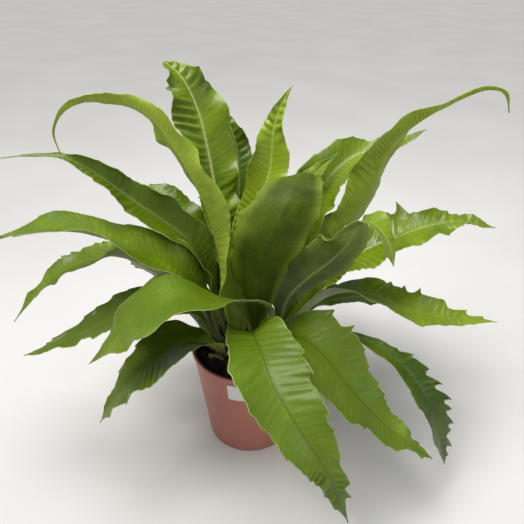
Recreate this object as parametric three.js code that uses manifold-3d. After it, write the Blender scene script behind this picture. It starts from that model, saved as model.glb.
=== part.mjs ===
// A bird's nest fern in a round nursery pot. Millimetres, +Z up.
// The origin is the middle of the pot's flat underside; the fern's show side faces -Y.
// Every frond is one blade of its own: a thin strap swept along a spine, folded along its midrib,
// narrow at the stalk and drawn out to a point. The spines are the design, so they are points chosen by hand.
import * as THREE from "three";
import { mergeVertices } from "three/addons/utils/BufferGeometryUtils.js";
import Module from "manifold-3d";

// ---- Driving dimensions ----
const POT = { topRadius: 60, baseRadius: 46, height: 118, wall: 1.6, floor: 2.2, lip: 1.0, lipHeight: 5 };
const DRAIN = { count: 8, radius: 3.5, ring: 31 };
const GAP = 0.3; // air between pieces that touch
const SOIL = { edgeBelowRim: 10, rise: 4, shoulder: 48 };
const CROWN = { radius: 42, height: 8, brow: 3 };
const LABEL = { width: 27, height: 21, thickness: 0.4, topBelowRim: 9, bearing: -97 };
const BLADE = { thickness: 1.0, stalkThickness: 2.6, stalkEnd: 0.3, stalkWidth: 7, tipHalfWidth: 0.6, fullness: 0.6 };
const STATIONS = 20; // steps along a blade
const ACROSS = [-1, 0, 1]; // left edge, midrib, right edge
const POT_SIDES = 48;
const CURVE_STEPS = 24; // steps between two spine points while a spine is measured

const SOIL_TOP = POT.height - SOIL.edgeBelowRim + SOIL.rise;
const CROWN_TOP = SOIL_TOP + GAP + CROWN.height;
const BASE_Z = CROWN_TOP + 2;

// ---- Fronds ----
// heading: bearing in degrees that the blade leans towards, 0 along +X and 90 along +Y
// width: full width where it is widest, at share `peak` of its length; `rise` is where it starts to widen
// tip: 0 ends bluntly, 1 is drawn out to a long point
// cup: angles in degrees that the halves fold up by; roll: twist in degrees, both spread evenly along the blade
// spine: points from the crown to the tip, the first one's height is BASE_Z
const frond = (name, heading, width, spine, shape = {}) => ({
  name, heading, width, spine: [[...spine[0], BASE_Z], ...spine.slice(1)],
  peak: 0.5, rise: 0.04, tip: 0.6, cup: [55, 22, 14], roll: [0], ...shape,
});
const FRONDS = [
  frond("frond_front_wide", -75, 63,
    [[0, -22], [4, -52, 172], [13, -92, 184], [27, -132, 176], [46, -156, 156], [65, -168, 128],
     [84, -171, 72]],
    { cup: [40, 14, 10], peak: 0.42, rise: 0, tip: 0.7 }),
  frond("frond_front_right", -42, 72,
    [[22, -20], [48, -42, 158], [67, -64, 159], [89, -88, 142], [116, -105, 118], [143, -114, 98],
     [166, -118, 82]],
    { cup: [40, 12, 8], peak: 0.34, rise: 0, tip: 0.55 }),
  frond("frond_right_toothed", -26, 34,
    [[34, -13], [68, -26, 148], [94, -34, 154], [114, -41, 151], [142, -54, 138], [167, -72, 112],
     [182, -86, 76], [192, -94, 42]],
    { cup: [40, 25, 16], roll: [0, 10, 25, 10], peak: 0.74, rise: 0.3, tip: 0.1 }),
  frond("frond_right_low", -2, 44,
    [[39, -3], [58, 2, 155], [87, 5, 175], [117, 4, 177], [153, -4, 166], [191, -12, 160],
     [244, -20, 159]],
    { cup: [45, 18, 10], roll: [-30, -45, 5, 20, 20], peak: 0.58 }),
  frond("frond_right_spiked", 12, 56,
    [[32, 10], [54, 2, 168], [81, 8, 202], [110, 14, 218], [144, 20, 231], [177, 24, 242],
     [207, 24, 247], [239, 22, 241]],
    { cup: [50, 22, 10], roll: [10, 20, 15, 20], peak: 0.55 }),
  frond("frond_right_hooked", 10, 44,
    [[24, 24], [58, 32, 180], [84, 34, 223], [106, 36, 251], [119, 34, 285], [129, 30, 318],
     [149, 20, 344], [176, 10, 365], [195, 5, 374], [207, 0, 372], [214, 0, 357]],
    { cup: [45, 25, 20], roll: [0, -50, -75, -75, -45, -20], peak: 0.52, tip: 0.75 }),
  frond("frond_right_back_arch", 28, 62,
    [[17, 34], [36, 50, 180], [55, 54, 230], [76, 66, 268], [104, 76, 292], [138, 78, 302],
     [173, 72, 322]],
    { cup: [50, 30, 15], roll: [0, 28, 12], peak: 0.42, tip: 0.45 }),
  frond("frond_inner_right", 35, 46,
    [[13, 18], [28, 36, 184], [42, 46, 238], [62, 57, 278], [88, 66, 300]],
    { cup: [50, 40, 25], roll: [0, 25, 35] }),
  frond("frond_right_folded", -25, 50,
    [[29, -7], [38, -20, 186], [54, -28, 214], [70, -37, 236], [84, -48, 262], [88, -56, 281],
     [96, -64, 291], [104, -73, 288], [111, -79, 277], [115, -82, 262]],
    { cup: [45, 20, 12], roll: [0, -50, -70, -60, -10, 40], peak: 0.55, rise: 0.1, tip: 0.1 }),
  frond("frond_centre_folded", -88, 62,
    [[8, -11], [9, -28, 180], [11, -33, 226], [22, -37, 264], [36, -27, 291], [46, -2, 303],
     [52, 18, 298], [54, 30, 280]],
    { cup: [50, 16, 10], roll: [0, -10, 0], peak: 0.6, tip: 0.2 }),
  frond("frond_centre_bright", 80, 42,
    [[3, 5], [-2, 12, 170], [0, 20, 220], [12, 32, 262], [22, 44, 294], [25, 52, 329], [34, 58, 354],
     [42, 60, 366]],
    { cup: [50, 25, 20], roll: [0, -8, -10], peak: 0.62, tip: 0.55 }),
  frond("frond_tall_left", 118, 52,
    [[-8, 10], [-16, 18, 180], [-22, 26, 232], [-30, 40, 267], [-37, 54, 303], [-44, 64, 335],
     [-54, 72, 360], [-64, 76, 374], [-76, 78, 383]],
    { cup: [50, 22, 10], peak: 0.78, rise: 0, tip: 0 }),
  frond("frond_back_tall", 100, 46,
    [[-5, 24], [-10, 40, 190], [-12, 54, 227], [-10, 66, 261], [-12, 88, 296], [-20, 98, 322],
     [-28, 102, 332]],
    { cup: [50, 22, 12], peak: 0.6, tip: 0.3 }),
  frond("frond_left_arch", 170, 42,
    [[-13, -5], [-22, -8, 188], [-29, -9, 246], [-39, -12, 290], [-58, -8, 329], [-76, -4, 354],
     [-103, 0, 367], [-127, 0, 367], [-147, 0, 358], [-158, 0, 341], [-156, 0, 322]],
    { cup: [45, 35, 25, 20], roll: [-45, -30, 35, 75, 60, 20], peak: 0.3, rise: 0, tip: 0.8 }),
  frond("frond_left_upper", 176, 47,
    [[-24, 3], [-38, 5, 184], [-55, 13, 229], [-79, 13, 253], [-106, 9, 278], [-131, 6, 302],
     [-153, 4, 317], [-183, 0, 321], [-209, -4, 320]],
    { cup: [50, 40, 35, 15], roll: [0, -12, -35, -30, -10], peak: 0.42, rise: 0.15, tip: 1 }),
  frond("frond_left_behind", 150, 46,
    [[-17, 15], [-34, 20, 170], [-48, 24, 212], [-60, 33, 230], [-74, 44, 247], [-88, 56, 260],
     [-100, 66, 268]],
    { cup: [50, 25, 12], roll: [0, -10, -10], peak: 0.75, tip: 0 }),
  frond("frond_left_long", 186, 54,
    [[-29, -7], [-46, -12, 180], [-63, -18, 220], [-89, -25, 240], [-117, -30, 257], [-148, -34, 268],
     [-176, -37, 269], [-207, -38, 262], [-232, -38, 252]],
    { cup: [45, 20, 15], roll: [0, -10, 10, 0], peak: 0.52, tip: 0 }),
  frond("frond_left_bent", 180, 50,
    [[-34, 3], [-56, 6, 152], [-75, 7, 177], [-88, 8, 195], [-106, 8, 210], [-132, 6, 219],
     [-160, 4, 213], [-190, 0, 198], [-216, -4, 174], [-236, -8, 150]],
    { cup: [45, 20, 10], roll: [30, 75, 65, -10, -30, -30], peak: 0.34 }),
  frond("frond_left_low_back", 196, 50,
    [[-35, -12], [-52, -22, 166], [-64, -28, 184], [-84, -38, 193], [-116, -48, 188], [-148, -56, 175],
     [-175, -63, 165], [-201, -66, 157]],
    { cup: [40, 15, 8], peak: 0.5 }),
  frond("frond_left_bright", 205, 64,
    [[11, -22], [21, -36, 165], [21, -42, 192], [10, -46, 202], [-7, -52, 206], [-25, -60, 214],
     [-44, -71, 226], [-66, -78, 226], [-90, -86, 211], [-112, -90, 190], [-133, -90, 169]],
    { cup: [30, 8, 8], roll: [60, 30, 0, -5], peak: 0.64, rise: 0.36, tip: 0.5 }),
  frond("frond_left_low", 222, 62,
    [[-24, -24], [-39, -44, 152], [-57, -60, 167], [-79, -78, 162], [-102, -88, 144], [-122, -93, 121],
     [-134, -94, 101]],
    { cup: [35, 12, 12], roll: [0, 10, 15], peak: 0.42 }),
  frond("frond_back_left_low", 160, 50,
    [[-29, 15], [-61, 41, 142], [-98, 52, 144], [-138, 66, 128], [-172, 76, 100]],
    { cup: [45, 15, 8], peak: 0.36, rise: 0 }),
  frond("frond_back_left", 135, 46,
    [[-24, 27], [-50, 70, 180], [-84, 104, 208], [-118, 136, 204], [-144, 164, 178]],
    { cup: [45, 15, 8] }),
  frond("frond_back_mid_left", 108, 48,
    [[-13, 34], [-21, 80, 184], [-36, 124, 214], [-52, 168, 208], [-64, 206, 178]],
    { cup: [45, 15, 8] }),
  frond("frond_back_mid", 88, 46,
    [[5, 35], [10, 72, 180], [14, 112, 214], [18, 152, 214], [20, 190, 188]],
    { cup: [45, 15, 8] }),
  frond("frond_back_mid_right", 66, 48,
    [[20, 39], [40, 90, 168], [64, 130, 186], [86, 172, 174], [100, 208, 142]],
    { cup: [45, 15, 8] }),
  frond("frond_back_right", 44, 46,
    [[29, 30], [72, 60, 162], [108, 94, 190], [144, 126, 184], [174, 152, 154]],
    { cup: [45, 15, 8] }),
  frond("frond_back_right_low", 22, 44,
    [[35, 20], [80, 40, 138], [126, 58, 134], [172, 76, 120], [210, 88, 92]],
    { cup: [45, 15, 8] }),
  frond("frond_young_left", 140, 16,
    [[-5, 0], [-9, 4, 165], [-17, 10, 212], [-34, 22, 262], [-57, 30, 317]],
    { cup: [60, 50, 40], roll: [0, 20, 70] }),
  frond("frond_young_right", 20, 18,
    [[13, 3], [22, -3, 165], [32, -6, 205], [42, -8, 238], [53, -6, 258]],
    { cup: [60, 50, 40] }),
];

// ---- Blade geometry ----
const lerp = (a, b, t) => a + (b - a) * t;
const smooth = (a, b, x) => {
  const t = THREE.MathUtils.clamp((x - a) / (b - a), 0, 1);
  return t * t * (3 - 2 * t);
};

// A value at share s of the length, from a list spread evenly along it.
function spread(values, s) {
  if (values.length === 1) return values[0];
  const x = s * (values.length - 1);
  const i = Math.min(Math.floor(x), values.length - 2);
  return lerp(values[i], values[i + 1], smooth(0, 1, x - i));
}

function halfWidth(f, s) {
  const stalk = BLADE.stalkWidth / 2;
  const widened = stalk + (f.width / 2 - stalk) * smooth(f.rise, f.peak, s) ** BLADE.fullness;
  const q = THREE.MathUtils.clamp((s - f.peak) / (1 - f.peak), 0, 1);
  const taper = lerp(1 - q ** 2.2, (1 - q) ** 2 * (1 + 2 * q), f.tip);
  return Math.max(widened * taper, BLADE.tipHalfWidth);
}

// Points at equal steps of length along the smooth curve through the spine's points.
function spinePoints(f, steps) {
  const curve = new THREE.CatmullRomCurve3(f.spine.map((p) => new THREE.Vector3(...p)), false, "centripetal");
  curve.arcLengthDivisions = CURVE_STEPS * (f.spine.length - 1);
  return curve.getSpacedPoints(steps);
}

// The blade's middle surface: rows of points from the left edge over the midrib to the right edge.
function bladeRows(f, steps) {
  const points = spinePoints(f, steps);
  const bearing = THREE.MathUtils.degToRad(f.heading);
  const side = new THREE.Vector3(-Math.sin(bearing), Math.cos(bearing), 0);
  return points.map((p, i) => {
    const s = i / steps;
    const along = points[Math.min(i + 1, steps)].clone().sub(points[Math.max(i - 1, 0)]).normalize();
    const wide = side.clone().addScaledVector(along, -side.dot(along)).normalize();
    wide.applyAxisAngle(along, THREE.MathUtils.degToRad(spread(f.roll, s)));
    const up = along.clone().cross(wide);
    const cup = THREE.MathUtils.degToRad(spread(f.cup, s));
    const half = halfWidth(f, s);
    return ACROSS.map((v) =>
      p.clone()
        .addScaledVector(wide, half * Math.cos(cup) * v)
        .addScaledVector(up, half * Math.sin(cup) * Math.abs(v)));
  });
}

// A closed sheet of the given thickness around rows of points.
function sheetGeometry(rows, thicknessAt) {
  const n = rows.length;
  const m = rows[0].length;
  const vertices = [];
  for (const face of [1, -1])
    rows.forEach((row, i) => row.forEach((p, j) => {
      const along = rows[Math.min(i + 1, n - 1)][j].clone().sub(rows[Math.max(i - 1, 0)][j]);
      const across = row[Math.min(j + 1, m - 1)].clone().sub(row[Math.max(j - 1, 0)]);
      const normal = along.cross(across).normalize();
      const q = p.clone().addScaledVector(normal, (face * thicknessAt(i / (n - 1))) / 2);
      vertices.push(q.x, q.y, q.z);
    }));
  const top = (i, j) => i * m + j;
  const under = (i, j) => n * m + i * m + j;
  const faces = [];
  const quad = (a, b, c, d) => faces.push(a, b, c, a, c, d);
  for (let i = 0; i < n - 1; i++) {
    for (let j = 0; j < m - 1; j++) {
      quad(top(i, j), top(i + 1, j), top(i + 1, j + 1), top(i, j + 1));
      quad(under(i, j), under(i, j + 1), under(i + 1, j + 1), under(i + 1, j));
    }
    quad(top(i, 0), under(i, 0), under(i + 1, 0), top(i + 1, 0));
    quad(top(i + 1, m - 1), under(i + 1, m - 1), under(i, m - 1), top(i, m - 1));
  }
  for (let j = 0; j < m - 1; j++) {
    quad(top(0, j), top(0, j + 1), under(0, j + 1), under(0, j));
    quad(top(n - 1, j + 1), top(n - 1, j), under(n - 1, j), under(n - 1, j + 1));
  }
  const geometry = new THREE.BufferGeometry();
  geometry.setAttribute("position", new THREE.Float32BufferAttribute(vertices, 3));
  geometry.setIndex(faces);
  return geometry;
}

function bladeGeometry(f) {
  const thickness = (s) => lerp(BLADE.stalkThickness, BLADE.thickness, smooth(0, BLADE.stalkEnd, s));
  return sheetGeometry(bladeRows(f, STATIONS), thickness);
}

// ---- Round pieces ----
// A lathe around +Z from [radius, height] pairs that start and end on the axis or close on themselves.
function lathe(profile, sides = POT_SIDES) {
  return new THREE.LatheGeometry(profile.map(([r, z]) => new THREE.Vector2(r, z)), sides).rotateX(Math.PI / 2);
}

const wasm = await Module();
wasm.setup();

function toSolid(geometry) {
  const bare = geometry.clone();
  bare.deleteAttribute("normal");
  bare.deleteAttribute("uv");
  const merged = mergeVertices(bare, 1e-4);
  return new wasm.Manifold(new wasm.Mesh({
    numProp: 3,
    vertProperties: merged.attributes.position.array,
    triVerts: new Uint32Array(merged.index.array),
  }));
}

function toGeometry(solid) {
  const mesh = solid.getMesh();
  const geometry = new THREE.BufferGeometry();
  geometry.setAttribute("position", new THREE.BufferAttribute(mesh.vertProperties, 3));
  geometry.setIndex(new THREE.BufferAttribute(mesh.triVerts, 1));
  return geometry;
}

const outerRadiusAt = (z) => lerp(POT.baseRadius, POT.topRadius - POT.lip, z / POT.height);
const innerRadiusAt = (z) => outerRadiusAt(z) - POT.wall;

function potGeometry() {
  const lipBottom = POT.height - POT.lipHeight;
  const shell = toSolid(lathe([
    [0, 0],
    [POT.baseRadius - 1, 0],
    [POT.baseRadius, 1],
    [outerRadiusAt(lipBottom), lipBottom],
    [POT.topRadius, lipBottom + POT.lip],
    [POT.topRadius, POT.height - 0.6],
    [POT.topRadius - 0.6, POT.height],
    [innerRadiusAt(POT.height), POT.height],
    [innerRadiusAt(POT.floor), POT.floor],
    [0, POT.floor],
  ]));
  let pot = shell;
  for (let i = 0; i < DRAIN.count; i++) {
    const angle = (2 * Math.PI * i) / DRAIN.count;
    const drill = new THREE.CylinderGeometry(DRAIN.radius, DRAIN.radius, 4 * POT.floor, 12).rotateX(Math.PI / 2);
    drill.translate(DRAIN.ring * Math.cos(angle), DRAIN.ring * Math.sin(angle), 0);
    pot = pot.subtract(toSolid(drill));
  }
  return toGeometry(pot);
}

function soilGeometry() {
  const bottom = POT.floor + GAP;
  const edge = POT.height - SOIL.edgeBelowRim;
  return lathe([
    [0, bottom],
    [innerRadiusAt(bottom) - GAP, bottom],
    [innerRadiusAt(edge) - GAP, edge],
    [SOIL.shoulder, SOIL_TOP],
    [0, SOIL_TOP],
  ]);
}

function crownGeometry() {
  const foot = SOIL_TOP + GAP;
  return lathe([
    [0, foot],
    [CROWN.radius, foot],
    [CROWN.radius - 0.3 * CROWN.brow, foot + CROWN.height / 2],
    [CROWN.radius - CROWN.brow, CROWN_TOP],
    [0, CROWN_TOP],
  ], 32);
}

// A blank paper sticker that follows the pot's wall.
function labelGeometry() {
  const high = POT.height - LABEL.topBelowRim;
  const middle = THREE.MathUtils.degToRad(LABEL.bearing);
  const columns = 8;
  const rowCount = 2;
  const sweep = LABEL.width / outerRadiusAt(high);
  const offset = GAP + LABEL.thickness / 2;
  const rows = [];
  for (let i = 0; i <= columns; i++) {
    const angle = middle + sweep * (i / columns - 0.5);
    rows.push([...Array(rowCount + 1).keys()].map((k) => {
      const z = high - LABEL.height * (1 - k / rowCount);
      const r = outerRadiusAt(z) + offset;
      return new THREE.Vector3(r * Math.cos(angle), r * Math.sin(angle), z);
    }));
  }
  return sheetGeometry(rows, () => LABEL.thickness);
}

// ---- Assembly ----
const material = (color, roughness) => new THREE.MeshStandardMaterial({ color, roughness, metalness: 0 });
const TERRACOTTA = material(0x96594f, 0.55);
const PEAT = material(0x24151a, 0.95);
const FIBRE = material(0x4a3a24, 0.95);
const PAPER = material(0xe9e8e6, 0.8);
const LEAF = material(0x5f8f22, 0.4);
const YOUNG_LEAF = material(0x8fae3a, 0.45);

const fern = new THREE.Group();
const add = (name, geometry, look) => {
  const mesh = new THREE.Mesh(geometry, look);
  mesh.name = name;
  fern.add(mesh);
};
add("nursery_pot", potGeometry(), TERRACOTTA);
add("potting_soil", soilGeometry(), PEAT);
add("crown", crownGeometry(), FIBRE);
add("paper_label", labelGeometry(), PAPER);
for (const f of FRONDS) add(f.name, bladeGeometry(f), f.name.includes("young") ? YOUNG_LEAF : LEAF);

export default fern;
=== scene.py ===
"""Looks of the potted fern: ruffled, toothed fronds, fibrous crown, crumbly peat, moulded pot, blank sticker.

Lengths are millimetres in the CAD frame until a mesh is made; lights and camera are placed in metres.
"""
import math

import bpy
import numpy as np
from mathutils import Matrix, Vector


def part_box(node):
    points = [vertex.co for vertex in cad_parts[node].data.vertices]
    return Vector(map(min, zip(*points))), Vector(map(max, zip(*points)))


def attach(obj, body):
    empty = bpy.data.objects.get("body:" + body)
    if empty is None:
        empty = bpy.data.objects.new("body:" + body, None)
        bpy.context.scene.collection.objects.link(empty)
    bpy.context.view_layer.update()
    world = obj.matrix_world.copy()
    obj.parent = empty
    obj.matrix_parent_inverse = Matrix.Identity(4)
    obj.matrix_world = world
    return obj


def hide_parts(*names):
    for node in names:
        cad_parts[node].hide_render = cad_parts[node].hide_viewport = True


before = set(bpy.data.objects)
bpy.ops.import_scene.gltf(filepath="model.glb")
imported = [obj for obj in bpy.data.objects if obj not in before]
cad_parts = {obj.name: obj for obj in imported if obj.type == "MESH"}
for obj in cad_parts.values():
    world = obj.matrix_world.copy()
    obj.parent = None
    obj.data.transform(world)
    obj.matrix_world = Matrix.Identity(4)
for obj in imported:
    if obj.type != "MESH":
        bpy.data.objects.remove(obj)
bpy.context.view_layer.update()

MM = 0.001
SEED_FRONDS, SEED_SOIL, SEED_CROWN = 100, 11, 5
CURVE_STEPS = 24     # steps between two spine points while a spine is measured
STATION = 1.5        # step along a blade
BLADE = 0.5          # thickness of a blade away from its midrib
STALK = 2.6          # thickness of a stalk
STALK_WIDTH = 7.0
TIP_HALF_WIDTH = 0.5
FULLNESS = 0.6       # how soon a blade widens above its stalk
BLUNTNESS = 2.2      # how late a blunt tip narrows
LEAFY = (0.08, 0.3)  # shares of the length between which a bare stalk turns into a ruffled blade
VEIN_SLANT = 0.45    # how far a side vein runs towards the tip for each step it runs outwards
# Waves across the side veins in the materials: spacing, and how much they wobble.
FINE_VEINS, BROAD_VEINS, SPORE_LINES = (1.7, 0.8), (6.0, 3.0), (3.4, 1.6)

POT = dict(top=60.0, base=46.0, height=118.0, wall=1.6, floor=2.2, lip=1.0, lip_height=5.0, hub=6)
DRAIN_HOLES = dict(count=8, out=31, radius=3.5)
SOIL_EDGE_Z = POT["height"] - 10
LUMPS, CRUMBS = 170, 900
CROWN_RADIUS = 40.0
CROWN_BUMPS, OLD_STALKS, HAIRS = 150, 95, 420
OLD_STALKS_OUT = 36  # how far from the middle the outermost old stalk bases stand
# The label's bearing is in degrees; drop is from the pot's top, gap from its wall, curl at its loose corner.
LABEL = dict(width=27.0, height=21.0, thick=0.35, corner=1.6, bearing=-97, drop=9, gap=0.35, curl=1.2)
# Old stalks torn off short: bearing in degrees, distance out, lean in degrees, length, half width.
TORN_STALKS = [(188, 27, 30, 22, 3.0), (203, 33, 42, 26, 3.4), (222, 36, 50, 20, 2.8), (236, 30, 25, 15, 2.6),
               (150, 30, 35, 18, 2.6), (-48, 36, 40, 16, 2.6), (95, 34, 38, 17, 2.8), (20, 33, 40, 18, 2.4)]
CROWN_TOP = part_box("crown")[1][2] / MM
SOIL_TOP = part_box("potting_soil")[1][2] / MM
BASE_Z = CROWN_TOP + 2  # where each blade starts

# Columns across a blade, close together at the midrib and the margins.
HALF_COLUMNS = [0.03, 0.07, 0.13, 0.22, 0.33, 0.45, 0.57, 0.68, 0.78, 0.86, 0.92, 0.96, 1.0]
ACROSS = np.array([-v for v in reversed(HALF_COLUMNS)] + [0.0] + HALF_COLUMNS)


# ---- Fronds ----
# name, heading, width and spine are those of the CAD blade; so are peak, rise, tip, cup and roll.
# ruffle: height of the waves in the margins; waves: how many; corrugate: height of the folds between side veins
# teeth: (side, from share, to share, depth, spacing); spikes: single large teeth, each (side, share, height, base)
# side: 1 the left margin as seen looking out along the frond, -1 the right one, 0 both
# tone and painted light: -1 dark to 1 yellow-green, the frond's own colour plus painted shade and painted light where
# it lies in shade or in the light; bloom: how whitish the underside is; both spread evenly along the blade
# rib: how pale the midrib is, or below 0 how strong a painted shadow in its groove is; dry: share of the tip that has
# browned
# gloss: how much shinier than usual the upper face is; sori: how clear the brown spore lines beneath are
USUAL = dict(peak=0.5, rise=0.04, tip=0.6, roll=(0,), teeth=((0, 0.4, 0.95, 1.6, 11),), spikes=(), tone=(0,),
             rib=0.5, bloom=(0,), dry=0.0, gloss=0.0, sori=0.0)
FAR_SIDE = dict(cup=(45, 15, 8), ruffle=3.2, waves=6, corrugate=0.7, teeth=((0, 0.35, 0.95, 2.5, 13),), rib=0.35)


def frond(name, heading, width, spine, **looks):
    points = [(*spine[0], BASE_Z)] + spine[1:]
    return {**USUAL, "name": name, "heading": heading, "width": width, "spine": points, **looks}


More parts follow.
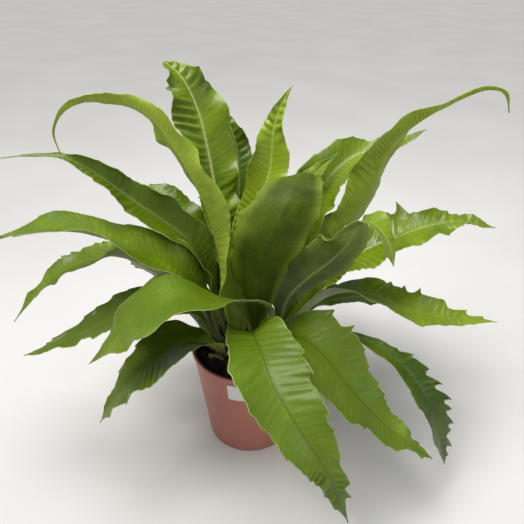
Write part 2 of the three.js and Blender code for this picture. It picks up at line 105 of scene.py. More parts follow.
FRONDS = [
    frond("frond_front_wide", -75, 63,
          [(0, -22), (4, -52, 172), (13, -92, 184), (27, -132, 176), (46, -156, 156), (65, -168, 128),
           (84, -171, 72)],
          peak=0.42, rise=0, tip=0.7, cup=(40, 14, 10), gloss=-0.8, ruffle=2.2, waves=5, corrugate=1.1,
          teeth=((1, 0.3, 0.97, 6, 17), (-1, 0.15, 0.95, 2, 11)), rib=-0.45),
    frond("frond_front_right", -42, 72,
          [(22, -20), (48, -42, 158), (67, -64, 159), (89, -88, 142), (116, -105, 118), (143, -114, 98),
           (166, -118, 82)],
          peak=0.34, rise=0, tip=0.55, cup=(40, 12, 8), gloss=-0.4, ruffle=2, waves=5, corrugate=0.4,
          teeth=((0, 0.25, 0.97, 3.5, 12),), spikes=((1, 0.27, 10, 9), (1, 0.36, 13, 11)), tone=(-0.05,),
          rib=-0.45),
    frond("frond_right_toothed", -26, 34,
          [(34, -13), (68, -26, 148), (94, -34, 154), (114, -41, 151), (142, -54, 138), (167, -72, 112),
           (182, -86, 76), (192, -94, 42)],
          peak=0.74, rise=0.3, tip=0.1, cup=(40, 25, 16), roll=(0, 10, 25, 10), ruffle=1.5, waves=4,
          corrugate=0.3, teeth=((1, 0.45, 0.97, 14, 15), (-1, 0.25, 0.97, 1, 11)), tone=(-0.65,),
          rib=-0.1, dry=0.03),
    frond("frond_right_low", -2, 44,
          [(39, -3), (58, 2, 155), (87, 5, 175), (117, 4, 177), (153, -4, 166), (191, -12, 160),
           (244, -20, 159)],
          peak=0.58, cup=(45, 18, 10), roll=(-30, -45, 5, 20, 20), gloss=0.5, bloom=(1, 1, 0.1, 0, 0),
          ruffle=2.5, waves=4, corrugate=0.5, teeth=((1, 0.42, 0.92, 6, 15), (-1, 0.5, 0.9, 1.5, 14)),
          spikes=((1, 0.54, 7, 10), (1, 0.61, 10, 12), (1, 0.67, 8, 10), (1, 0.79, 7, 14)),
          tone=(0, 0.5, 0.6), rib=0.1),
    frond("frond_right_spiked", 12, 56,
          [(32, 10), (54, 2, 168), (81, 8, 202), (110, 14, 218), (144, 20, 231), (177, 24, 242),
           (207, 24, 247), (239, 22, 241)],
          peak=0.55, cup=(50, 22, 10), roll=(10, 20, 15, 20), gloss=1, ruffle=5, waves=6, corrugate=2,
          teeth=((0, 0.4, 0.95, 2.5, 12),), spikes=((1, 0.695, 22, 16),), tone=(0.5,), rib=0.3),
    frond("frond_right_hooked", 10, 44,
          [(24, 24), (58, 32, 180), (84, 34, 223), (106, 36, 251), (119, 34, 285), (129, 30, 318),
           (149, 20, 344), (176, 10, 365), (195, 5, 374), (207, 0, 372), (214, 0, 357)],
          peak=0.52, tip=0.75, cup=(45, 25, 20), roll=(0, -50, -75, -75, -45, -20), sori=0.5, ruffle=3.5,
          waves=5, corrugate=0.3, teeth=((0, 0.4, 0.9, 1.2, 12),), tone=(0.3, 0.8, 0.8, 1, 1), rib=0.1),
    frond("frond_right_back_arch", 28, 62,
          [(17, 34), (36, 50, 180), (55, 54, 230), (76, 66, 268), (104, 76, 292), (138, 78, 302),
           (173, 72, 322)],
          peak=0.42, tip=0.45, cup=(50, 30, 15), roll=(0, 28, 12), ruffle=3.5, waves=6, corrugate=0.4,
          teeth=((0, 0.4, 0.95, 2.5, 12),), tone=(0.4,), rib=0.2),
    frond("frond_inner_right", 35, 46,
          [(13, 18), (28, 36, 184), (42, 46, 238), (62, 57, 278), (88, 66, 300)],
          cup=(50, 40, 25), roll=(0, 25, 35), ruffle=6, waves=5, corrugate=0.6,
          teeth=((0, 0.4, 0.95, 1.5, 9),), tone=(-0.2, 0.3, 0.5), rib=0.2),
    frond("frond_right_folded", -25, 50,
          [(29, -7), (38, -20, 186), (54, -28, 214), (70, -37, 236), (84, -48, 262), (88, -56, 281),
           (96, -64, 291), (104, -73, 288), (111, -79, 277), (115, -82, 262)],
          peak=0.55, rise=0.1, tip=0.1, cup=(45, 20, 12), roll=(0, -50, -70, -60, -10, 40), sori=0.2,
          ruffle=3, waves=4, corrugate=0.2, teeth=((0, 0.4, 0.95, 1.2, 12),),
          tone=(-0.6, -0.7, -0.5, 0.3, 0.5), bloom=(0.25, 0.25, 0.1, 0)),
    frond("frond_centre_folded", -88, 62,
          [(8, -11), (9, -28, 180), (11, -33, 226), (22, -37, 264), (36, -27, 291), (46, -2, 303),
           (52, 18, 298), (54, 30, 280)],
          peak=0.6, tip=0.2, cup=(50, 16, 10), roll=(0, -10, 0), ruffle=3.5, waves=3, corrugate=0.15,
          teeth=((0, 0.3, 0.9, 1.5, 14),), tone=(-0.6, -0.85, -0.45, -0.35), rib=0),
    frond("frond_centre_bright", 80, 42,
          [(3, 5), (-2, 12, 170), (0, 20, 220), (12, 32, 262), (22, 44, 294), (25, 52, 329),
           (34, 58, 354), (42, 60, 366)],
          peak=0.62, tip=0.55, cup=(50, 25, 20), roll=(0, -8, -10), gloss=0.8, ruffle=6, waves=4,
          corrugate=0.9, teeth=((0, 0.4, 0.98, 0.8, 12),), tone=(1,), rib=0.7),
    frond("frond_tall_left", 118, 52,
          [(-8, 10), (-16, 18, 180), (-22, 26, 232), (-30, 40, 267), (-37, 54, 303), (-44, 64, 335),
           (-54, 72, 360), (-64, 76, 374), (-76, 78, 383)],
          peak=0.78, rise=0, tip=0, cup=(50, 22, 10), gloss=0.8, ruffle=5, waves=7, corrugate=1.3,
          teeth=((0, 0.88, 0.99, 6, 13),), tone=(0.35,), rib=0.95),
    frond("frond_back_tall", 100, 46,
          [(-5, 24), (-10, 40, 190), (-12, 54, 227), (-10, 66, 261), (-12, 88, 296), (-20, 98, 322),
           (-28, 102, 332)],
          peak=0.6, tip=0.3, cup=(50, 22, 12), ruffle=5, waves=6, corrugate=0.7, tone=(-0.1,)),
    frond("frond_left_arch", 170, 42,
          [(-13, -5), (-22, -8, 188), (-29, -9, 246), (-39, -12, 290), (-58, -8, 329), (-76, -4, 354),
           (-103, 0, 367), (-127, 0, 367), (-147, 0, 358), (-158, 0, 341), (-156, 0, 322)],
          peak=0.3, rise=0, tip=0.8, cup=(45, 35, 25, 20), roll=(-45, -30, 35, 75, 60, 20), sori=0.28,
          ruffle=4, waves=6, corrugate=0.2, teeth=((0, 0.3, 0.9, 1.2, 12),), tone=(0.5, 1, 0.9, 1, 1),
          rib=0.1),
    frond("frond_left_upper", 176, 47,
          [(-24, 3), (-38, 5, 184), (-55, 13, 229), (-79, 13, 253), (-106, 9, 278), (-131, 6, 302),
           (-153, 4, 317), (-183, 0, 321), (-209, -4, 320)],
          peak=0.42, rise=0.15, tip=1, cup=(50, 40, 35, 15), roll=(0, -12, -35, -30, -10), ruffle=4.5,
          waves=5, corrugate=0.5, teeth=((0, 0.5, 0.9, 1.5, 12),), tone=(-0.1,), rib=0.2),
    frond("frond_left_behind", 150, 46,
          [(-17, 15), (-34, 20, 170), (-48, 24, 212), (-60, 33, 230), (-74, 44, 247), (-88, 56, 260),
           (-100, 66, 268)],
          peak=0.75, tip=0, cup=(50, 25, 12), roll=(0, -10, -10), gloss=1, ruffle=3, waves=4,
          corrugate=2.8, tone=(0.2,), rib=0.3),
    frond("frond_left_long", 186, 54,
          [(-29, -7), (-46, -12, 180), (-63, -18, 220), (-89, -25, 240), (-117, -30, 257),
           (-148, -34, 268), (-176, -37, 269), (-207, -38, 262), (-232, -38, 252)],
          peak=0.52, tip=0, cup=(45, 20, 15), roll=(0, -10, 10, 0), bloom=(0.5, 0.6, 0.2, 0), ruffle=4.5,
          waves=3, corrugate=0.3, teeth=((0, 0.35, 0.9, 2, 14),), tone=(0.2,), rib=0),
    frond("frond_left_bent", 180, 50,
          [(-34, 3), (-56, 6, 152), (-75, 7, 177), (-88, 8, 195), (-106, 8, 210), (-132, 6, 219),
           (-160, 4, 213), (-190, 0, 198), (-216, -4, 174), (-236, -8, 150)],
          peak=0.34, cup=(45, 20, 10), roll=(30, 75, 65, -10, -30, -30), gloss=0.5, sori=0.3,
          bloom=(1, 1, 0, 0), ruffle=3, waves=5, corrugate=0.4,
          teeth=((1, 0.4, 0.95, 2, 18), (-1, 0.35, 0.7, 5, 9), (-1, 0.7, 0.95, 1.5, 12)), tone=(0.3,),
          rib=0.1, dry=0.015),
    frond("frond_left_low_back", 196, 50,
          [(-35, -12), (-52, -22, 166), (-64, -28, 184), (-84, -38, 193), (-116, -48, 188),
           (-148, -56, 175), (-175, -63, 165), (-201, -66, 157)],
          cup=(40, 15, 8), gloss=-0.4, ruffle=2.5, waves=5, corrugate=0.3, teeth=((0, 0.3, 0.95, 3, 13),), rib=0.1),
    frond("frond_left_bright", 205, 64,
          [(11, -22), (21, -36, 165), (21, -42, 192), (10, -46, 202), (-7, -52, 206), (-25, -60, 214),
           (-44, -71, 226), (-66, -78, 226), (-90, -86, 211), (-112, -90, 190), (-133, -90, 169)],
          peak=0.64, rise=0.36, tip=0.5, cup=(30, 8, 8), roll=(60, 30, 0, -5), gloss=-0.3,
          bloom=(0.5, 0.3, 0), ruffle=2.5, waves=3, corrugate=0.15, teeth=((0, 0.45, 0.95, 1.5, 12),),
          tone=(-0.1, 0, 0.1), rib=0),
    frond("frond_left_low", 222, 62,
          [(-24, -24), (-39, -44, 152), (-57, -60, 167), (-79, -78, 162), (-102, -88, 144),
           (-122, -93, 121), (-134, -94, 101)],
          peak=0.42, cup=(35, 12, 12), roll=(0, 10, 15), ruffle=2.5, waves=5, corrugate=0.5,
          teeth=((0, 0.3, 0.95, 3, 12),), tone=(-0.1,), rib=0.1, dry=0.03),
    frond("frond_back_left_low", 160, 50,
          [(-29, 15), (-61, 41, 142), (-98, 52, 144), (-138, 66, 128), (-172, 76, 100)],
          peak=0.36, rise=0, tone=(-0.1,), **FAR_SIDE),
    frond("frond_back_left", 135, 46,
          [(-24, 27), (-50, 70, 180), (-84, 104, 208), (-118, 136, 204), (-144, 164, 178)], tone=(0.1,), **FAR_SIDE),
    frond("frond_back_mid_left", 108, 48,
          [(-13, 34), (-21, 80, 184), (-36, 124, 214), (-52, 168, 208), (-64, 206, 178)], tone=(-0.1,), **FAR_SIDE),
    frond("frond_back_mid", 88, 46,
          [(5, 35), (10, 72, 180), (14, 112, 214), (18, 152, 214), (20, 190, 188)], tone=(0.15,), **FAR_SIDE),
    frond("frond_back_mid_right", 66, 48,
          [(20, 39), (40, 90, 168), (64, 130, 186), (86, 172, 174), (100, 208, 142)], **FAR_SIDE),
    frond("frond_back_right", 44, 46,
          [(29, 30), (72, 60, 162), (108, 94, 190), (144, 126, 184), (174, 152, 154)], tone=(0.1,), **FAR_SIDE),
    frond("frond_back_right_low", 22, 44,
          [(35, 20), (80, 40, 138), (126, 58, 134), (172, 76, 120), (210, 88, 92)], tone=(-0.1,), **FAR_SIDE),
    frond("frond_young_left", 140, 16,
          [(-5, 0), (-9, 4, 165), (-17, 10, 212), (-34, 22, 262), (-57, 30, 317)],
          cup=(60, 50, 40), roll=(0, 20, 70), ruffle=1, waves=3, corrugate=0.2, teeth=(), tone=(0.8,),
          rib=0.4),
    frond("frond_young_right", 20, 18,
          [(13, 3), (22, -3, 165), (32, -6, 205), (42, -8, 238), (53, -6, 258)],
          cup=(60, 50, 40), ruffle=2.5, waves=5, corrugate=0.4, teeth=(), tone=(0.9,), dry=0.5),
]


# ---- Blade shape ----
def smooth(a, b, x):
    """0 up to a, 1 from b on, and an S curve between them; b may be below a."""
    t = np.clip((x - a) / (b - a), 0, 1)
    return t * t * (3 - 2 * t)


def spread(values, s):
    """A value at each share s of the length, from a list spread evenly along it."""
    if len(values) == 1:
        return np.full_like(s, float(values[0]))
    x = s * (len(values) - 1)
    i = np.clip(np.floor(x).astype(int), 0, len(values) - 2)
    v = np.asarray(values, float)
    return v[i] + (v[i + 1] - v[i]) * smooth(0, 1, x - i)


def spine_points(points):
    """Points at equal steps along the centripetal Catmull-Rom curve through the given points, and its length."""
    p = np.asarray(points, float)
    p = np.vstack([2 * p[0] - p[1], p, 2 * p[-1] - p[-2]])
    out = []
    for i in range(1, len(p) - 2):
        a, b, c, d = p[i - 1:i + 3]
        k0, k1, k2 = (max(np.dot(y - x, y - x) ** 0.25, 1e-4) for x, y in ((a, b), (b, c), (c, d)))
        m1 = ((b - a) / k0 - (c - a) / (k0 + k1) + (c - b) / k1) * k1
        m2 = ((c - b) / k1 - (d - b) / (k1 + k2) + (d - c) / k2) * k1
        t = np.linspace(0, 1, CURVE_STEPS, endpoint=False)[:, None]
        out.append((2 * t**3 - 3 * t**2 + 1) * b + (t**3 - 2 * t**2 + t) * m1
                   + (3 * t**2 - 2 * t**3) * c + (t**3 - t**2) * m2)
    out = np.vstack(out + [p[-2]])
    run = np.concatenate([[0], np.cumsum(np.linalg.norm(np.diff(out, axis=0), axis=1))])
    at = np.linspace(0, run[-1], int(run[-1] / STATION) + 2)
    return np.stack([np.interp(at, run, out[:, k]) for k in range(3)], 1), run[-1]


def half_width(f, s):
    base = STALK_WIDTH / 2
    wide = base + (f["width"] / 2 - base) * smooth(f["rise"], f["peak"], s) ** FULLNESS
    q = np.clip((s - f["peak"]) / (1 - f["peak"]), 0, 1)
    blunt = 1 - q ** BLUNTNESS
    drawn = (1 - q) ** 2 * (1 + 2 * q)
    return np.maximum(wide * (blunt + (drawn - blunt) * f["tip"]), TIP_HALF_WIDTH)


def unit(v):
    return v / np.maximum(np.linalg.norm(v, axis=-1, keepdims=True), 1e-9)


def smooth_noise(rng, x, step):
    """Seeded noise from -1 to 1 that changes over about `step`."""
    knots = rng.uniform(-1, 1, int(np.ptp(x) / step) + 4)
    y = (x - x.min()) / step
    i = y.astype(int)
    return knots[i] + (knots[i + 1] - knots[i]) * smooth(0, 1, y - i)


def tooth_line(rng, f, run, length, side):
    """How far the margin stands out, and how far its teeth lean towards the tip, at each point of its run."""
    sway, sway_step, nibble, nibble_step = 0.045 * f["width"], 15, 0.5, 6
    tooth_rise, tooth_fall, notch, lean_share = 0.8, 0.2, 0.35, 0.9
    spike_rise, spike_fall = 0.75, 0.25
    out = sway * smooth_noise(rng, run, sway_step) + nibble * smooth_noise(rng, run, nibble_step)
    lean = np.zeros_like(run)
    for which, start, end, depth, spacing in f["teeth"]:
        if which not in (0, side):
            continue
        at = start * length + rng.uniform(0, spacing)
        while at < end * length:
            gap = spacing * rng.uniform(0.45, 1.6)
            size = depth * rng.uniform(0.25, 1.0) * min(1, gap / spacing + 0.2)
            x = (run - at) / gap
            tooth = (np.where((x >= 0) & (x < tooth_rise), (x / tooth_rise) ** 1.7, 0)
                     + np.where((x >= tooth_rise) & (x < 1), (1 - x) / tooth_fall, 0))
            out += size * (tooth - notch * ((x >= 0) & (x < 1)))
            lean += size * lean_share * tooth ** 3
            at += gap
    for which, share, height, base in f["spikes"]:
        if which == side:
            x = np.clip((run - share * length) / base + spike_rise, 0, 1)
            out += height * np.where(x < spike_rise, (x / spike_rise) ** 2.2, (1 - x) / spike_fall)
    return out * smooth(0.06, 0.2, run / length), lean


def ruffles(rng, f, s, length, y, size, leafy):
    """Height of the waves that grow towards a margin."""
    drift, drift_step, usual, change, change_step, growth = 1.6, 30, 0.75, 0.35, 40, 2.2
    run = s * length
    phase = rng.uniform(0, 2 * math.pi)
    turn = phase + 2 * math.pi * f["waves"] * s + drift * smooth_noise(rng, run, drift_step)
    swell = f["ruffle"] * (usual + change * smooth_noise(rng, run, change_step)) * leafy
    slanted = turn[:, None] - 2 * math.pi * f["waves"] * VEIN_SLANT * y / length
    return swell[:, None] * np.sin(slanted) * size ** growth


def folds(rng, f, s, length, y, size, leafy):
    """Height of the irregular folds between side veins, weaker at the midrib and at the margin."""
    drift, drift_step, usual, change, change_step = 5, 22, 0.45, 1.2, 38
    least, most, margin_loss = 0.03, 1.4, 0.55
    run = s * length
    step = 7.5 + 1.5 * rng.uniform(-1, 1)
    turn = 2 * math.pi * (run[:, None] - VEIN_SLANT * y) / step + drift * smooth_noise(rng, run, drift_step)[:, None]
    fade = smooth(0.04, 0.3, size) * (1 - margin_loss * smooth(0.75, 1.0, size))
    depth = f["corrugate"] * np.clip(usual + change * smooth_noise(rng, run, change_step), least, most) * leafy
    return depth[:, None] * np.sin(turn) * fade


def blade(f, seed):
    """Both faces of a frond's blade, with the coordinates its material needs."""
    rng = np.random.default_rng(seed)
    p, length = spine_points(f["spine"])
    s = np.linspace(0, 1, len(p))
    run = s * length
    bearing = math.radians(f["heading"])
    side = np.array([-math.sin(bearing), math.cos(bearing), 0])
    along = unit(np.gradient(p, axis=0))
    wide = unit(side - (along @ side)[:, None] * along)
    up = np.cross(along, wide)
    roll = np.radians(spread(f["roll"], s))[:, None]
    wide, up = wide * np.cos(roll) + up * np.sin(roll), up * np.cos(roll) - wide * np.sin(roll)

    # Cupped section, then ruffles, folds and teeth on each side of the midrib.
    half = half_width(f, s)
    cup = np.radians(spread(f["cup"], s))
    v = ACROSS[None, :]
    size = np.abs(v)
    y = size * half[:, None]
    full_ruffle_half, full_tooth_half, margin_from, margin_span = 9, 5, 0.7, 0.3
    leafy = smooth(*LEAFY, s) * np.minimum(1, half / full_ruffle_half)
    lift = (half * np.sin(cup))[:, None] * size ** 1.3
    out = (half * np.cos(cup))[:, None] * v
    forward = np.zeros_like(out)
    for sign in (-1, 1):
        mask = (np.sign(v) == sign) * 1.0
        lift = lift + mask * ruffles(rng, f, s, length, y, size, leafy)
        lift = lift + mask * folds(rng, f, s, length, y, size, leafy)
        edge, lean = tooth_line(rng, f, run, length, sign)
        near_margin = np.clip((size - margin_from) / margin_span, 0, 1) ** 1.5 * mask
        fits = np.minimum(1, half / full_tooth_half)[:, None]
        out = out + sign * near_margin * edge[:, None] * fits
        forward = forward + near_margin * lean[:, None] * fits
    middle = (p[:, None, :] + out[..., None] * wide[:, None, :] + lift[..., None] * up[:, None, :]
              + forward[..., None] * along[:, None, :])

    # Thickness: round stalk, thin blade, a midrib that stands out below and a low ridge on each side of it above.
    normal = unit(np.cross(np.gradient(middle, axis=0), np.gradient(middle, axis=1)))
    stalk = 1 - smooth(0.0, 0.32, s)
    body = BLADE + (STALK - BLADE) * stalk
    thick = body[:, None] * np.sqrt(np.clip(1 - 0.96 * (size * (0.25 + 0.75 * stalk[:, None])) ** 2, 0.04, 1))
    rib_half = (0.55 + 1.1 * (1 - s) ** 1.5)[:, None]
    keel = 0.3 + min(0.7, max(0, f["rib"]))
    rib_under = keel * (0.35 + 1.3 * (1 - s) ** 1.3)[:, None] * np.exp(-(y / rib_half) ** 2)
    rib_over = (0.1 + 0.45 * (1 - s))[:, None] * np.exp(-((y - 0.9 * rib_half) / (0.5 * rib_half)) ** 2)
    taper = np.minimum(1, half / 3)[:, None]
    top = middle + normal * (thick / 2 + rib_over * taper)[..., None]
    under = middle - normal * (thick / 2 + rib_under * taper)[..., None]
    browned = smooth(1 - f["dry"] - 0.02, 1 - 0.4 * f["dry"] + 0.005, s) if f["dry"] else 0 * s

    down_blade = {"along": run, "share": s, "tone": spread(f["tone"], s), "bloom": spread(f["bloom"], s),
                  "dry": browned}
    fields = {key: np.repeat(values[:, None], len(ACROSS), 1) for key, values in down_blade.items()}
    fields |= {key: np.full_like(y, f[key]) for key in ("rib", "gloss", "sori")}
    fields |= {"outward": y, "across": np.repeat(v, len(p), 0)}
    return top, under, fields


# ---- Mesh helpers ----
def new_mesh(name, points_mm, faces, materials, index=None, fields=None):
    """A smooth-shaded object; index picks each face's material, fields are values stored at its points."""
    mesh = bpy.data.meshes.new(name)
    mesh.from_pydata((np.asarray(points_mm) * MM).tolist(), [], faces)
    for m in materials:
        mesh.materials.append(m)
    if index is not None:
        mesh.polygons.foreach_set("material_index", np.asarray(index, np.int32))
    for key, values in (fields or {}).items():
        layer = mesh.attributes.new(key, "FLOAT", "POINT")
        layer.data.foreach_set("value", np.asarray(values, np.float32).ravel())
    mesh.polygons.foreach_set("use_smooth", np.ones(len(mesh.polygons), bool))
    mesh.update()
    ob = bpy.data.objects.new(name, mesh)
    bpy.context.scene.collection.objects.link(ob)
    return ob


def grid_faces(rows, cols, first=0, flip=False, wrap=False):
    """Quads of a grid of points that starts at point `first`; wrap closes each row into a ring."""
    faces = []
    for i in range(rows - 1):
        here = first + i * cols
        beyond = here + cols
        for j in range(cols if wrap else cols - 1):
            k = (j + 1) % cols
            quad = (here + j, beyond + j, beyond + k, here + k)
            faces.append(quad[::-1] if flip else quad)
    return faces


def blade_object(f, seed, over, beneath):
    """A frond's closed blade: upper face, underside and the rim that joins them."""
    top, under, fields = blade(f, seed)
    n, m = top.shape[:2]
    faces = grid_faces(n, m) + grid_faces(n, m, n * m, flip=True)
    index = [0] * ((n - 1) * (m - 1)) + [1] * ((n - 1) * (m - 1))
    low = n * m
    rim = []
    for i in range(n - 1):
        a, b = i * m, (i + 1) * m
        rim += [(a, low + a, low + b, b), (b + m - 1, low + b + m - 1, low + a + m - 1, a + m - 1)]
    for j in range(m - 1):
        e = (n - 1) * m + j
        rim += [(j, j + 1, low + j + 1, low + j), (e + 1, e, low + e, low + e + 1)]
    points = np.vstack([top.reshape(-1, 3), under.reshape(-1, 3)])
    both = {k: np.concatenate([v.ravel(), v.ravel()]) for k, v in fields.items()}
    ob = new_mesh(f["name"] + "_leaf", points, faces + rim, [over, beneath], index + [0] * len(rim), both)
    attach(ob, "root")
    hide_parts(f["name"])


# ---- Materials ----
STALK_OVER, STALK_UNDER = (0.25, 0.27, 0.09), (0.13, 0.12, 0.05)
BROWNED_OVER, BROWNED_UNDER = (0.16, 0.10, 0.05), (0.14, 0.09, 0.05)
PALE_MARGIN = (0.52, 0.58, 0.22)
SPORES = (0.085, 0.058, 0.022)
WHITE_BLOOM = (0.36, 0.37, 0.25)
POT_ROSE, POT_ROSE_LIGHT = (0.385, 0.138, 0.100), (0.430, 0.158, 0.118)
POT_DUST, POT_SCUFF = (0.47, 0.29, 0.23), (0.45, 0.27, 0.22)
PEAT_FLECK = (0.11, 0.075, 0.055)
PAPER, PAPER_FIBRE, PAPER_STAIN = (0.74, 0.73, 0.72), (0.62, 0.61, 0.60), (0.60, 0.56, 0.50)


class Nodes:
    """Short names for building a material's nodes."""

    def __init__(self, name):
        self.material = bpy.data.materials.new(name)
        self.material.use_nodes = True
        self.tree = self.material.node_tree
        self.bsdf = self.tree.nodes["Principled BSDF"]

    def put(self, socket, value):
        if isinstance(value, bpy.types.NodeSocket):
            self.tree.links.new(value, socket)
        elif isinstance(value, tuple) and len(value) == 3 and socket.type == "RGBA":
            socket.default_value = (*value, 1)
        else:
            socket.default_value = value

    def add(self, kind, inputs=None, out=0, **settings):
        node = self.tree.nodes.new(kind)
        for key, value in settings.items():
            setattr(node, key, value)
        for key, value in (inputs or {}).items():
            self.put(node.inputs[key], value)
        return node.outputs[out]

    def field(self, name):
        return self.add("ShaderNodeAttribute", attribute_name=name, out="Fac")

    def math(self, op, a, b=0.0, c=0.0, clamp=False):
        return self.add("ShaderNodeMath", {0: a, 1: b, 2: c}, operation=op, use_clamp=clamp)

    def remap(self, x, a, b, to_a=0.0, to_b=1.0):
        return self.add("ShaderNodeMapRange", {"Value": x, "From Min": a, "From Max": b, "To Min": to_a,
                                               "To Max": to_b}, interpolation_type="SMOOTHSTEP")

    def mix(self, factor, a, b):
        node = self.tree.nodes.new("ShaderNodeMix")
        node.data_type = "RGBA"
        self.put(node.inputs[0], factor)
        self.put(node.inputs[6], a)
        self.put(node.inputs[7], b)
        return node.outputs[2]

    def noise(self, scale, detail=3.0, rough=0.5, vector=None):
        return self.add("ShaderNodeTexNoise", {"Scale": scale, "Detail": detail, "Roughness": rough,
                                               "Vector": vector or self.place()})

    def place(self):
        return self.add("ShaderNodeTexCoord", out="Object")

    def bump(self, height, distance, strength):
        return self.add("ShaderNodeBump", {"Height": height, "Distance": distance, "Strength": strength})

    def stretched(self, z_scale):
        return self.add("ShaderNodeMapping", {"Vector": self.place(), "Scale": (1.0, 1.0, z_scale)})

    def finish(self, **sockets):
        for key, value in sockets.items():
            self.put(self.bsdf.inputs[key.replace("_", " ")], value)
        return self.material


def vein_waves(n, spacing, wobble):
    """A wave from 0 to 1 across the side veins, `spacing` millimetres apart."""
    slanted = n.math("MULTIPLY_ADD", n.field("outward"), -VEIN_SLANT, n.field("along"))
    shifted = n.math("MULTIPLY_ADD", n.noise(45.0, 2.0), wobble, n.math("DIVIDE", slanted, spacing))
    return n.math("MULTIPLY_ADD", n.math("SINE", n.math("MULTIPLY", shifted, 2 * math.pi)), 0.5, 0.5)


def leaf_over(name, dark, mid, bright, rib_colour, roughness):
    """Waxy upper face: side veins, a pale midrib with a groove or a painted shadow in that groove, a thin pale
    margin, a browned tip.
    """
    n = Nodes(name)
    outward, across = n.field("outward"), n.math("ABSOLUTE", n.field("across"))
    share, tone = n.field("share"), n.field("tone")
    fine = vein_waves(n, *FINE_VEINS)
    broad = vein_waves(n, *BROAD_VEINS)
    patches = n.noise(26.0, 4.0, 0.6)
    # The frond's tone is partly its own colour and partly painted shade and painted light.
    level = n.math("MULTIPLY_ADD", tone, 0.5, 0.5)
    level = n.math("MULTIPLY_ADD", n.math("SUBTRACT", patches, 0.5), 0.9, level)
    level = n.math("MULTIPLY_ADD", n.math("SUBTRACT", fine, 0.5), 0.09, level)
    level = n.math("MULTIPLY_ADD", n.math("SUBTRACT", broad, 0.5), 0.05, level, clamp=True)
    colour = n.mix(n.remap(level, 0.0, 0.5), dark, mid)
    colour = n.mix(n.remap(level, 0.5, 1.0), colour, bright)
    speck = n.remap(n.noise(420.0, 2.0), 0.62, 0.75)
    colour = n.mix(n.math("MULTIPLY", speck, 0.18), colour, bright)
    stalk = n.remap(share, 0.16, 0.0)
    colour = n.mix(n.math("MULTIPLY", stalk, 0.4), colour, STALK_OVER)
    rib_half = n.math("MULTIPLY_ADD", n.math("SUBTRACT", 1.0, share), 1.9, 0.5)
    near = n.math("DIVIDE", outward, rib_half)
    band = n.math("MULTIPLY", n.remap(near, 1.25, 0.75), n.remap(near, 0.1, 0.42, 0.35, 1.0))
    colour = n.mix(n.math("MULTIPLY", band, n.field("rib"), clamp=True), colour, rib_colour)
    # Painted shadow: below 0, rib darkens the groove along the midrib to stand in for the shade in it.
    groove_shadow_weight = n.math("MULTIPLY", n.field("rib"), -1.0)
    painted_groove_shadow = n.math("MULTIPLY", n.remap(near, 1.4, 0.2), groove_shadow_weight, clamp=True)
    colour = n.mix(painted_groove_shadow, colour, dark)
    edge = n.remap(across, 0.965, 1.0)
    colour = n.mix(n.math("MULTIPLY", edge, 0.45), colour, PALE_MARGIN)
    dry = n.math("MULTIPLY", n.field("dry"), n.remap(n.noise(160.0), 0.25, 0.6, 0.6, 1.0))
    colour = n.mix(dry, colour, BROWNED_OVER)
    rough = n.remap(n.noise(70.0, 4.0, 0.65), 0.3, 0.7, roughness, roughness + 0.16)
    rough = n.math("MULTIPLY_ADD", n.field("gloss"), -0.16, rough)
    relief = n.math("MULTIPLY_ADD", broad, 0.35, n.math("MULTIPLY", fine, 0.25))
    relief = n.math("MULTIPLY_ADD", n.noise(900.0, 2.0), 0.12, relief)
    return n.finish(Base_Color=colour, Roughness=rough, Normal=n.bump(relief, 0.0004, 0.8),
                    IOR=1.45, Specular_IOR_Level=0.32, Coat_Weight=0.24, Coat_Roughness=0.16)


